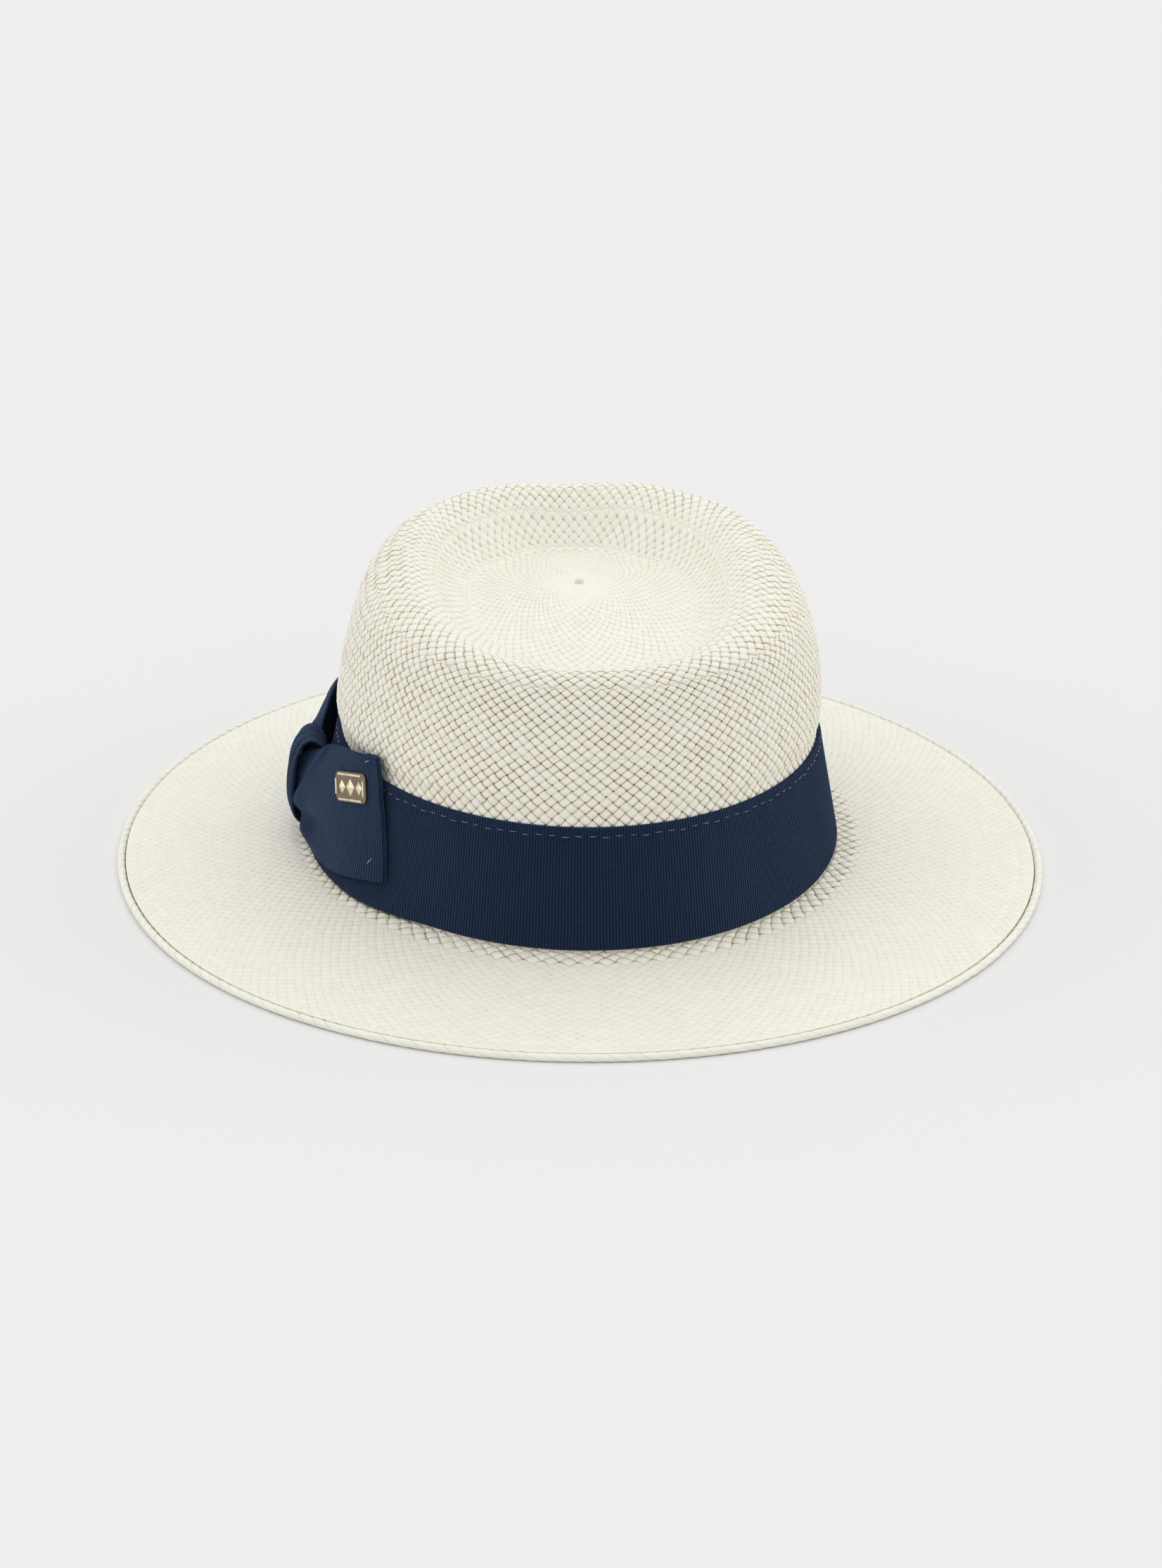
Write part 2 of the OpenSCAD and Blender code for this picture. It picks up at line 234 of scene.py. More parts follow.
# ---------------------------------------------------------------- meshes
def new_object(name, bm, mesh=None):
    """Put a bmesh in the scene as an object, and free it."""
    mesh = mesh or bpy.data.meshes.new(name)
    bm.to_mesh(mesh)
    bm.free()
    piece = bpy.data.objects.new(name, mesh)
    bpy.context.scene.collection.objects.link(piece)
    return piece


def skins(name, grids, uvs=None):
    """One closed mesh of grid patches, moved to the given points (mm) and welded where they meet."""
    bm = bmesh.new()
    for g in grids:
        bmesh.ops.create_grid(bm, x_segments=g.shape[1] - 1, y_segments=g.shape[0] - 1, size=0.5)
    me = bpy.data.meshes.new(name)
    bm.to_mesh(me)
    co = np.concatenate([g.reshape(-1, 3) for g in grids]) * MM
    me.vertices.foreach_set("co", co.astype(np.float32).ravel())
    corner = np.empty(len(me.loops), np.int32)
    me.loops.foreach_get("vertex_index", corner)
    for layer, parts in (uvs or {}).items():
        uv = np.concatenate([u.reshape(-1, 2) for u in parts])[corner]
        me.uv_layers.new(name=layer).data.foreach_set("uv", uv.astype(np.float32).ravel())
    bm.clear()
    bm.from_mesh(me)
    bmesh.ops.remove_doubles(bm, verts=bm.verts, dist=2e-7)
    rim = [e for e in bm.edges if e.is_boundary]
    if rim:
        bmesh.ops.holes_fill(bm, edges=rim, sides=0)
    bmesh.ops.recalc_face_normals(bm, faces=bm.faces)
    for f in bm.faces:
        f.smooth = True
    return new_object(name, bm, me)


def face_normals(points):
    """Unit normals of a grid of points."""
    return unit(np.cross(np.gradient(points, axis=1), np.gradient(points, axis=0)))


def fine_rows(table, count):
    """count rows on a smooth curve through the rows of a table."""
    table = np.asarray(table, float)
    last = len(table) - 1
    x = np.linspace(0, last, count)
    i = np.clip(np.floor(x).astype(int), 0, last - 1)
    f = (x - i).reshape((-1,) + (1,) * (table.ndim - 1))
    longer = np.asarray([2 * table[0] - table[1], *table, 2 * table[-1] - table[-2]])
    return spline(*(longer[i + k] for k in range(4)), f)


def cloth_slab(points, thick, uv, relief=0.0, under=0.0):
    """Grid and UVs of a closed slab of cloth around a sheet of points; relief stands on its face."""
    n = face_normals(points)
    over = points + n * (thick / 2 + relief + 0 * uv[..., 0])[..., None]
    below = (points - n * (thick / 2 + under + 0 * uv[..., 0])[..., None])[::-1]
    rows = np.concatenate([over, below, over[:1]])
    uvs = np.concatenate([uv, uv[::-1], uv[:1]])
    mids = np.concatenate([points, points[::-1], points[:1]])
    rows = np.concatenate([mids[:, :1], rows, mids[:, -1:]], axis=1)
    return rows, np.concatenate([uvs[:, :1], uvs, uvs[:, -1:]], axis=1)


def tube(path, radius, sides):
    """Grid of a tube along a path of points (mm)."""
    ahead = unit(np.gradient(path, axis=0))
    across = unit(np.cross(ahead, (0.12, 0.31, 0.94)))  # no path runs along this direction
    lift = np.cross(across, ahead)
    turn = np.linspace(0, TAU, sides + 1)[None, :, None]
    ring = across[:, None] * np.cos(turn) + lift[:, None] * np.sin(turn)
    size = np.broadcast_to(np.asarray(radius, float), (len(path),))[:, None, None]
    grid = path[:, None] + ring * size
    grid[:, -1] = grid[:, 0]
    return grid


def finish_piece(piece, material, node, body="hat"):
    """Give a piece its finish and its body, and let it stand for a CAD node."""
    piece.data.materials.append(material)
    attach(piece, body)
    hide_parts(node)


def woven_ring(name, cells, start, stop, sub, look, material, extra=None, pole=False):
    """A closed ring of woven straw between two lengths along the surface.

    sub is the rows and columns to a cell. look gives lift, swell, lean and seam strength, and
    extra more height, for ring numbers and angles. A ring with a pole ends in a point."""
    rho, v = weave_rows(start, stop, cells, sub)
    u = np.arange(cells * sub + 1) / sub
    angle = even_angle(u / cells)
    p, q = u[None, :] + v[:, None], u[None, :] - v[:, None]
    lift, swell, lean, seam = look(rho[:, None], angle[None, :])
    h = weave_relief(p, q, cells, lift, swell, lean) - 0.45 * (lift + swell)
    # Both edges lie on the plain surface, so that rings of different strands meet there
    margin = np.minimum(v - v[0], np.inf if pole else v[-1] - v)
    h = h * np.clip(margin / 0.15, 0.0, 1.0)[:, None]
    if extra is not None:
        h = h + extra(rho[:, None], angle[None, :])
    n = straw_normal(rho, angle)
    face = straw_surface(rho, angle) + n * h[..., None]
    pick = np.unique(np.append(np.arange(0, len(rho), UNDER_STEP), len(rho) - 1))[::-1]
    back = straw_surface(rho[pick], angle) - n[pick] * STRAW_T
    uv = np.stack([p, q], -1) + 2 * cells
    # This layer carries how strong the painted shade at the seams and holes is, and how deep the seam
    # bumps are.
    seam_shade_strength = np.stack([seam + 0 * p, 0 * p], -1)
    if pole:
        ends = (back[:1], face[-1:])
        tips = [np.broadcast_to(end.mean(1, keepdims=True), end.shape) for end in ends]
        rows = [tips[0], back, face, tips[1]]
        order = [pick[:1], pick, slice(None), slice(-1, None)]
    else:
        rows, order = [face, back, face[:1]], [slice(None), pick, slice(1)]
    grid = np.concatenate(rows)
    grid[:, -1] = grid[:, 0]
    layers = {
        layer: [np.concatenate([values[k] for k in order])]
        for layer, values in (("weave", uv), ("seam_shade_strength", seam_shade_strength))
    }
    piece = skins(name, [grid], layers)
    piece.data.set_sharp_from_angle(angle=math.radians(80))
    finish_piece(piece, material, "straw_body")


# ---------------------------------------------------------------- materials
class Finish:
    """A node material under construction."""

    def __init__(self, name, **sockets):
        self.material = bpy.data.materials.new(name)
        self.material.use_nodes = True
        self.tree = self.material.node_tree
        self.shader = self.tree.nodes["Principled BSDF"]
        for key, value in sockets.items():
            self.shader.inputs[key.replace("_", " ")].default_value = value

    def node(self, kind, **settings):
        node = self.tree.nodes.new("ShaderNode" + kind)
        for key, value in settings.items():
            setattr(node, key, value)
        return node

    def put(self, socket, value):
        if isinstance(value, bpy.types.NodeSocket):
            self.tree.links.new(value, socket)
        elif value is not None:
            socket.default_value = value

    def feed(self, node, *values):
        """Set or link a node's inputs in order, and give its first output."""
        for socket, value in zip(node.inputs, values):
            self.put(socket, value)
        return node.outputs[0]

    def math(self, how, a, b=None, c=None):
        return self.feed(self.node("Math", operation=how), a, b, c)

    def times(self, first, *others):
        for value in others:
            first = self.math("MULTIPLY", first, value)
        return first

    def ramp(self, x, low, high, to_low=0.0, to_high=1.0):
        node = self.node("MapRange", interpolation_type="SMOOTHSTEP")
        return self.feed(node, x, low, high, to_low, to_high)

    def mix(self, share, a, b, how="MIX"):
        node = self.node("Mix", data_type="RGBA", blend_type=how)
        self.put(node.inputs[0], share)
        for socket, value in zip((node.inputs[6], node.inputs[7]), (a, b)):
            self.put(socket, value if isinstance(value, bpy.types.NodeSocket) else (*value, 1))
        return node.outputs[2]

    def vector(self, x, y=0.0, z=0.0):
        return self.feed(self.node("CombineXYZ"), x, y, z)

    def uv(self, layer):
        split = self.node("SeparateXYZ")
        self.feed(split, self.node("UVMap", uv_map=layer).outputs[0])
        return split.outputs[:2]

    def noise(self, vector, scale, detail=2.0, rough=0.5):
        node = self.node("TexNoise")
        self.put(node.inputs["Vector"], vector)
        node.inputs["Scale"].default_value = scale
        node.inputs["Detail"].default_value = detail
        node.inputs["Roughness"].default_value = rough
        return node.outputs[0]

    def place(self):
        return self.node("TexCoord").outputs["Object"]

    def chance(self, vector):
        return self.feed(self.node("TexWhiteNoise", noise_dimensions="3D"), vector)

    def bumps(self, height, distance, strength=1.0):
        node = self.node("Bump")
        node.inputs["Strength"].default_value = strength
        node.inputs["Distance"].default_value = distance
        self.put(node.inputs["Height"], height)
        self.put(self.shader.inputs["Normal"], node.outputs[0])

    def colour(self, value):
        self.put(self.shader.inputs["Base Color"], value)


def once(make):
    """Make a material at its first use, and give the same one after that."""
    made = {}

    def get():
        if make not in made:
            made[make] = make()
        return made[make]

    return get


def straw_finish(name, seam_share, gap_share, speck_share, bump_m):
    """Flat shiny straw by UV, with painted shade: tan where a strand dives under the next, dark in
    the small holes at the crossings.
    """
    s = bpy.context.scene.fedora_straw
    f = Finish(name, Roughness=0.5, Specular_IOR_Level=0.4)
    p, q = f.uv("weave")
    # Strength of the painted seam and hole shade, and of the bumps, per vertex.
    strength = f.uv("seam_shade_strength")[0]
    ip, iq = f.math("FLOOR", p), f.math("FLOOR", q)
    fp, fq = f.math("FRACT", p), f.math("FRACT", q)
    turn = f.math("MODULO", f.math("ADD", ip, iq), 2.0)
    swap = f.math("SUBTRACT", fq, fp)
    along = f.math("MULTIPLY_ADD", turn, swap, fp)
    across = f.math("SUBTRACT", fq, f.times(turn, swap))
    end = f.math("ABSOLUTE", f.math("MULTIPLY_ADD", along, 2.0, -1.0))
    side = f.math("ABSOLUTE", f.math("MULTIPLY_ADD", across, 2.0, -1.0))
    luck = f.chance(f.vector(ip, iq, 0.5))
    odd = f.chance(f.vector(iq, ip, 7.5))
    grain = f.vector(f.times(across, 10.0), f.times(along, 0.8), f.times(luck, 60.0))
    fibre = f.noise(grain, 1.0, 3.0, 0.6)
    cloud = f.noise(f.place(), 24.0, 3.0)
    tone = f.math("MULTIPLY_ADD", luck, 0.55, f.times(fibre, 0.45))
    base = f.mix(tone, s.pale, s.warm)
    base = f.mix(f.ramp(cloud, 0.4, 0.75, 0.0, 0.3), base, s.warm)
    # Painted shade: tan in the dips where a strand dives under the next, most at the float's sides;
    # the same mask sinks the bump there.
    dive = f.times(f.ramp(end, 0.72, 1.0), 0.5)
    edge = f.times(f.ramp(side, 0.70, 0.88), f.ramp(side, 0.92, 1.0, 1.0, 0.45))
    seam = f.math("MAXIMUM", dive, edge)
    uneven = f.ramp(odd, 0.1, 0.9, 0.35, 1.0)
    base = f.mix(f.times(seam, seam_share, strength, uneven), base, s.seam)
    # Painted shade: near black in the small holes at the crossings, which the mesh has only as dips.
    corner = f.times(f.ramp(end, 0.8, 0.96), f.ramp(side, 0.68, 0.92))
    gap = f.times(corner, gap_share, strength, f.ramp(luck, 0.1, 0.7))
    base = f.mix(gap, base, s.gap)
    speck = f.times(corner, f.math("GREATER_THAN", odd, 0.86), speck_share)
    base = f.mix(speck, base, s.speck)
    f.colour(base)
    height = f.math("MULTIPLY_ADD", fibre, 0.3, f.times(seam, -1.0))
    f.bumps(f.times(height, strength), bump_m, 0.6)
    return f.material


@once
def crown_straw():
    return straw_finish("straw_crown", 1.0, 1.0, 0.0, 0.00016)


@once
def brim_straw():
    return straw_finish("straw_brim", 0.4, 0.8, 0.8, 0.00009)


@once
def border_straw():
    """The border's wraps, one to a unit along u."""
    s = bpy.context.scene.fedora_straw
    f = Finish("straw_border", Roughness=0.5, Specular_IOR_Level=0.4)
    u, v = f.uv("twist")
    lay = f.math("FRACT", u)
    luck = f.chance(f.vector(f.math("FLOOR", u), 3.5, 0.5))
    fibre = f.noise(f.vector(f.times(v, 14.0), u, luck), 2.0, 3.0, 0.6)
    base = f.mix(f.math("MULTIPLY_ADD", luck, 0.5, f.times(fibre, 0.5)), s.pale, s.warm)
    # Painted shade where each wrap tucks under the next; the same mask sinks a groove there in the
    # bump.
    lap_groove_shade = f.times(f.ramp(lay, 0.84, 1.0), f.ramp(luck, 0.0, 0.9, 0.3, 1.0))
    f.colour(f.mix(f.times(lap_groove_shade, 0.4), base, s.seam))
    f.bumps(f.math("MULTIPLY_ADD", fibre, 0.4, f.times(lap_groove_shade, -1.0)), 0.00015, 0.6)
    return f.material


@once
def ribbon_material():
    """Grosgrain by UV, one rib to a unit along u and millimetres along v."""
    s = bpy.context.scene.fedora_ribbon
    f = Finish(
        "grosgrain", Roughness=0.85, Specular_IOR_Level=0.12, Sheen_Weight=0.3, Sheen_Roughness=0.4
    )
    f.shader.inputs["Sheen Tint"].default_value = (0.32, 0.50, 0.85, 1)
    u, v = f.uv("rib")
    fu, iu = f.math("FRACT", u), f.math("FLOOR", u)
    rib = f.math("SINE", f.times(fu, math.pi))
    stagger = f.math("MULTIPLY_ADD", iu, 0.5, f.times(v, 2.4))
    weft = f.math("SINE", f.times(f.math("FRACT", stagger), math.pi))
    fuzz = f.noise(f.vector(f.times(u, 1.3), f.times(v, 2.0), 0.0), 1.4, 3.0, 0.65)
    # Painted shade in the grooves between the ribs and between the weft threads.
    body = f.mix(f.ramp(rib, 0.15, 0.85), s.groove_shade, s.navy)
    body = f.mix(f.ramp(weft, 0.0, 0.6, 0.45, 0.0), body, s.groove_shade)
    f.colour(f.mix(f.ramp(fuzz, 0.45, 0.75, 0.0, 0.8), body, s.light))
    relief = f.math("MULTIPLY_ADD", rib, 0.7, f.times(weft, 0.3))
    f.bumps(f.math("MULTIPLY_ADD", fuzz, 0.3, relief), 0.00028, 0.9)
    return f.material


def yarn(name, dark, light):
    """Spun thread, a little uneven in tone."""
    f = Finish(name, Roughness=0.6, Sheen_Weight=0.25)
    grain = f.noise(f.place(), 900.0)
    f.colour(f.mix(grain, dark, light))
    f.bumps(grain, 0.0001, 0.5)
    return f.material


def metal(name, light, dark, rough, layer=None):
    """Old brass; the UV layer, if any, is 1 where the metal is raised and rubbed bright."""
    f = Finish(name, Metallic=1.0, Roughness=rough)
    old = f.noise(f.place(), 260.0, 4.0, 0.65)
    shade = f.ramp(old, 0.45, 0.75, 0.0, 0.5)
    if layer:
        shade = f.math("MAXIMUM", shade, f.math("MULTIPLY_ADD", f.uv(layer)[0], -0.9, 0.9))
    f.colour(f.mix(shade, light, dark))
    f.put(f.shader.inputs["Roughness"], f.ramp(old, 0.35, 0.7, rough, rough + 0.25))
    f.bumps(old, 0.00003, 0.5)
    return f.material


def leather(name, dark, light):
    """Leather with fine pores and a cloudy tone."""
    f = Finish(name, Roughness=0.5, Specular_IOR_Level=0.4)
    place = f.place()
    cells = f.node("TexVoronoi", feature="DISTANCE_TO_EDGE")
    cells.inputs["Scale"].default_value = 700.0
    f.put(cells.inputs["Vector"], place)
    pore = f.ramp(cells.outputs["Distance"], 0.0, 0.12)
    cloud = f.noise(place, 45.0, 4.0)
    body = f.mix(f.ramp(cloud, 0.3, 0.7), dark, light)
    f.colour(f.mix(f.math("MULTIPLY_ADD", pore, -0.35, 0.35), body, [0.5 * c for c in dark]))
    f.bumps(f.math("MULTIPLY_ADD", cloud, 0.4, pore), 0.00012, 0.6)
    return f.material


def woven_cloth(name, dark, light, threads):
    """Plain fine cloth; threads is how fast they follow each other, per metre."""
    f = Finish(name, Roughness=0.85, Specular_IOR_Level=0.15, Sheen_Weight=0.2)
    split = f.node("SeparateXYZ")
    f.put(split.inputs[0], f.place())
    waves = [f.math("SINE", f.times(axis, threads)) for axis in split.outputs]
    weave = f.times(f.math("ADD", waves[0], waves[1]), waves[2])
    fuzz = f.noise(f.place(), 800.0, 3.0)
    f.colour(f.mix(f.math("MULTIPLY_ADD", weave, 0.15, fuzz), dark, light))
    f.bumps(f.math("MULTIPLY_ADD", weave, 0.5, fuzz), 0.0001, 0.6)
    return f.material


# ---------------------------------------------------------------- settings
def colour_prop(name, about, value):
    return FloatVectorProperty(
        name=name, description=about, subtype="COLOR", size=3, min=0, max=1, default=value
    )


class FedoraStraw(bpy.types.PropertyGroup):
    pale: colour_prop("Pale straw", "The lightest strands", (0.87, 0.865, 0.79))
    warm: colour_prop("Warm straw", "The more yellow strands", (0.82, 0.80, 0.68))
    # Painted shade in the dips where a strand goes under the next.
    seam: colour_prop("Seam", "Where a strand goes under the next", (0.44, 0.32, 0.16))
    # Painted shade of the small holes at the crossings.
    gap: colour_prop("Gap", "The small gaps at the crossings", (0.09, 0.05, 0.02))
    speck: colour_prop("Speck", "The odd tan fibre end", (0.62, 0.42, 0.22))
    crown_cells: IntProperty(
        name="Cells around the crown", description="Pairs of strands around the crown's side",
        default=132, min=60, max=150,
    )
    border_wraps: IntProperty(
        name="Wraps of the border", description="Slanted wraps around the brim's edge",
        default=204, min=100, max=300,
    )


class FedoraRibbon(bpy.types.PropertyGroup):
    navy: colour_prop("Navy", "The ribs of the ribbon", (0.0092, 0.0215, 0.054))
    # Painted shade between the ribs.
    groove_shade: colour_prop("Deep navy", "Between the ribs", (0.0015, 0.0035, 0.011))
    light: colour_prop("Light navy", "Flecks where the ribs catch light", (0.024, 0.048, 0.110))
    ribs: IntProperty(
        name="Ribs", description="Ribs around the whole ribbon", default=600, min=200, max=900
    )
    stitches: IntProperty(
        name="Gathering stitches", description="Running stitches that draw in the upper edge",
        default=134, min=60, max=200,
    )


class FedoraStage(bpy.types.PropertyGroup):
    lens: FloatProperty(
        name="Lens", description="Focal length of the camera", default=83.2, min=20, max=200,
        subtype="DISTANCE_CAMERA",
    )
    floor: colour_prop("Floor", "Colour of the studio floor", (0.775, 0.775, 0.775))
    daylight: FloatProperty(
        name="Daylight", description="Strength of the light from all round", default=0.9, min=0, max=3
    )


# ---------------------------------------------------------------- straw
def crown_look(rho, angle):
    """Full pillows on the side, flatter in the dent."""
    flat = (1 - 0.55 * smooth(rho, 13.5, 16.5)) * (1 - 0.9 * smooth(rho, 17.6, 18.6))
    patch = 0.5 + 0.5 * np.sin(3 * angle + 0.9 * rho) * np.sin(5 * angle - 1.7 * rho)
    # The painted seam shade is weaker from the shoulder on, over the crest and into the dent, which
    # faces the camera and the light, and it is gone at the dent's middle.
    seam = (1.0 - 0.72 * smooth(rho, 11.5, 14.5)) * (1 - smooth(rho, 17.8, 18.7))
    return 0.29 * flat, 0.27 * flat, -(0.02 + 0.09 * patch) * flat, seam


def brim_look(rho, angle):
    """Pressed flat, but full where the brim turns up into the crown."""
    root = 1 - smooth(run_at(ROOT_RING) - run_at(rho), 7.4, 10.4)
    side = 0.5 - 0.5 * np.cos(2 * angle)
    seam = 0.3 + 0.35 * (1 - side) * smooth(rho, 1.0, 2.8) + 0.7 * root
    lean = -0.02 - 0.02 * root + 0 * angle
    return 0.065 + 0.22 * root, 0.06 + 0.18 * root, lean, np.minimum(seam, 1.2)


def hidden_look(rho, angle):
    """Almost no relief, behind the ribbon."""
    return 0.001 + 0 * rho, 0.001 + 0 * rho, 0 * rho, 1 + 0 * rho


class OBJECT_OT_fedora_brim(bpy.types.Operator):
    """Weave the brim in rings, finest at its edge"""

    bl_idname = "fedora.brim"
    bl_label = "Brim"

    def execute(self, context):
        def pressed(rho, angle):
            """The line pressed in beside the border."""
            return -0.13 * bump(run_at(rho) - 5.0, 0.6) + 0 * angle

        foot = run_at(ROOT_RING)
        root = foot - 10.6  # the open weave starts here
        flat = brim_straw()
        woven_ring("straw_brim_edge", 236, 0.0, root / 3, 7, brim_look, flat, pressed)
        woven_ring("straw_brim_middle", 208, root / 3, 2 * root / 3, 8, brim_look, flat)
        woven_ring("straw_brim_inner", 178, 2 * root / 3, root, 8, brim_look, flat)
        woven_ring("straw_brim_root", ROOT_CELLS, root, foot, 12, brim_look, crown_straw())
        return {"FINISHED"}


class OBJECT_OT_fedora_border(bpy.types.Operator):
    """Twist the strand ends back into a rope around the brim's edge"""

    bl_idname = "fedora.border"
    bl_label = "Border"

    def execute(self, context):
        wraps = context.scene.fedora_straw.border_wraps
        per, sides, slant = 9, 16, 2.0  # columns to a wrap, sides of the rope, wraps to its girth
        t = np.linspace(0, TAU, wraps * per + 1)[None, :]
        a = np.linspace(0, TAU, sides + 1)[:, None]
        lay = np.arange(wraps * per + 1)[None, :] / per + slant * a / TAU
        step = lay - np.floor(lay)
        wrap = np.floor(lay) % wraps
        rise = (0.10 + 0.14 * chance(wrap, 2.0)) * step + 0.12 * np.sin(np.pi * step) - 0.2
        out = (BORDER_W / 2 - 0.05 + rise) * np.cos(a)
        up = np.clip((BORDER_H / 2 - 0.02 + 0.55 * rise) * np.sin(a), -BORDER_H / 2, None)
        c, s = np.cos(t), np.sin(t)
        q = squared(c, s, BRIM_SQUARE)
        away = -BORDER_W / 2 + out
        x = (BRIM_W / 2 + away) * c * q * (1 - BRIM_EGG * s)
        y = (BRIM_L / 2 + away + np.where(s > 0, -CROWN_Y, CROWN_Y)) * s * q + CROWN_Y
        grid = np.stack([x, y, BORDER_H / 2 + up + 0 * c], -1)
        grid[:, -1], grid[-1] = grid[:, 0], grid[0]
        uv = np.stack([lay + 4.0, a / TAU * 2 + 0 * lay], -1)
        piece = skins("brim_rope", [grid], {"twist": [uv]})
        finish_piece(piece, border_straw(), "brim_border")
        return {"FINISHED"}


class OBJECT_OT_fedora_crown(bpy.types.Operator):
    """Weave the crown's side, its shoulder, its ridge and the dent"""

    bl_idname = "fedora.crown"
    bl_label = "Crown"

    def execute(self, context):
        cells = context.scene.fedora_straw.crown_cells
        middle = (run_at(HIDDEN_TOP) + run_at(11.5)) / 2
        straw = crown_straw()
        for name, around, start, stop, sub, look in (
            ("straw_crown_foot", ROOT_CELLS, run_at(ROOT_RING), run_at(HIDDEN_TOP), 5, hidden_look),
            ("straw_crown_side", cells, run_at(HIDDEN_TOP), middle, 10, crown_look),
            ("straw_crown_shoulder", cells, middle, run_at(11.5), 10, crown_look),
            ("straw_crown_ridge", 106, run_at(11.5), run_at(14.2), 10, crown_look),
            ("straw_dent_wall", 88, run_at(14.2), run_at(15.7), 9, crown_look),
            ("straw_dent_foot", 68, run_at(15.7), run_at(16.8), 8, crown_look),
            ("straw_dent_floor", 50, run_at(16.8), run_at(17.6), 8, crown_look),
            ("straw_dent_start", 32, run_at(17.6), RUN[-1], 8, crown_look),
        ):
            woven_ring(name, around, start, stop, sub, look, straw, pole=stop == RUN[-1])
        return {"FINISHED"}


# ---------------------------------------------------------------- ribbon
def on_band(t, z, out):
    """A point of the ribbon's outer face at angle t and height z, out mm away from it."""
    w = z / BAND_H
    x = (FOOT_W / 2 - BAND_LEAN_W * w + out) * np.cos(t)
    y = CROWN_Y + (FOOT_L / 2 - BAND_LEAN_L * w + out) * np.sin(t)
    return np.stack([x, y, FOOT_Z + z + 0 * x], -1)


def flare(t, z):
    """How far the ribbon stands out around the bow, most at its lower edge."""
    away = np.abs(np.degrees(t) % 360 - 180)
    return FLARE_OUT * (1 - smooth(away, 30, 56)) * np.clip(1 - z / (BAND_H - 4), 0, 1) ** 1.5


def rib_rise(run, high):
    """Height of the ribs, which follow each other at 1 mm."""
    return high * np.abs(np.sin(np.pi * run)) ** 0.7


def folded_ribbon(name, table, node):
    """A ribbon laid through a table of (angle, height, out); its ribs cross it from row to row."""
    rows = 34
    mesh = fine_rows(table, rows)
    mesh = np.moveaxis(fine_rows(np.moveaxis(mesh, 1, 0), 241), 0, 1)
    points = on_band(np.radians(mesh[..., 0]), mesh[..., 1], mesh[..., 2])
    length = running(steps(points[rows // 2], 0))
    want = np.linspace(0, length[-1], int(length[-1] * 4))
    points = np.stack([[np.interp(want, length, axis) for axis in row.T] for row in points])
    points = points.transpose(0, 2, 1)
    width = steps(points, 0).sum(0).mean()
    v = np.linspace(0, width, rows)[:, None]
    uv = np.stack([want[None, :] + 0 * v, v + 0 * want], -1)
    wrinkle = 0.03 * np.sin(0.9 * want + 0.25 * v) * np.sin(0.31 * want - 0.4 * v)
    grid, grid_uv = cloth_slab(points, FOLD_T, uv, rib_rise(want, 0.08) + wrinkle, -wrinkle)
    piece = skins(name, [grid], {"rib": [grid_uv]})
    finish_piece(piece, ribbon_material(), node)


class OBJECT_OT_fedora_band(bpy.types.Operator):
    """Wrap the ribbon around the crown and draw its upper edge in with a running stitch"""

    bl_idname = "fedora.band"
    bl_label = "Ribbon"

    def execute(self, context):
        settings = context.scene.fedora_ribbon
        per = 6  # columns to a rib
        u = np.arange(settings.ribs * per + 1) / per
        t = even_angle(u / settings.ribs)[None, :]
        z = np.array([0.3, 0.8, 2, 4, 7, 11, 16, 22, 28, 31, 33.4, 34.6, 35.8, 36.7, 37.2])[:, None]
        rib = np.sin(np.pi * (u % 1))[None, :] ** 0.6
        drawn = bump(z - STITCH_Z, 3.0) * (
            0.15 * np.sin(37 * t + 2 * np.sin(5 * t)) + 0.10 * np.sin(61 * t + 1.3) - 0.12
        )
        selvage = np.clip(1 - (BAND_H - z) / 1.0, 0, 1) + np.clip(1 - (z - 0.3) / 0.8, 0, 1)
        out = 0.2 * rib * (1 - 0.5 * selvage) - 0.15 * selvage + drawn + flare(t, z)
        height = z + np.clip(z - 36.2, 0, 1) * (0.35 * rib - 0.2)
        height = height - 0.12 * flare(t, z) * np.clip(1 - z / 4, 0, 1)
        face = on_band(t + 0 * z, height, out)
        pick = [14, 10, 7, 5, 3, 0]  # the heights that the inner face needs
        back = on_band(t + 0 * z[pick], height[pick], flare(t, z[pick]) - 0.7)
        grid = np.concatenate([face, back, face[:1]])
        uv = np.stack([u + 0 * z, z + 0 * u], -1)
        uv = np.concatenate([uv, uv[pick], uv[:1]])
        grid[:, -1] = grid[:, 0]
        piece = skins("hat_ribbon", [grid], {"rib": [uv]})
        finish_piece(piece, ribbon_material(), "hat_band")

        dive = np.array([-0.25, 0.12, 0.2, 0.2, 0.12, -0.25])
        dashes = []
        for k in range(settings.stitches):
            share = (k + np.linspace(-0.31, 0.31, len(dive))) / settings.stitches
            z = STITCH_Z + 0.25 * np.sin(2.1 * k) + 0 * share
            path = on_band(even_angle(share % 1), z, 0.02 + dive)
            dashes.append(tube(path, [0.05, 0.13, 0.15, 0.15, 0.13, 0.05], 6))
        thread = skins("gather_stitches", dashes)
        navy_thread = yarn("gather_thread", (0.07, 0.065, 0.12), (0.17, 0.16, 0.26))
        finish_piece(thread, navy_thread, "band_gather_thread")
        return {"FINISHED"}


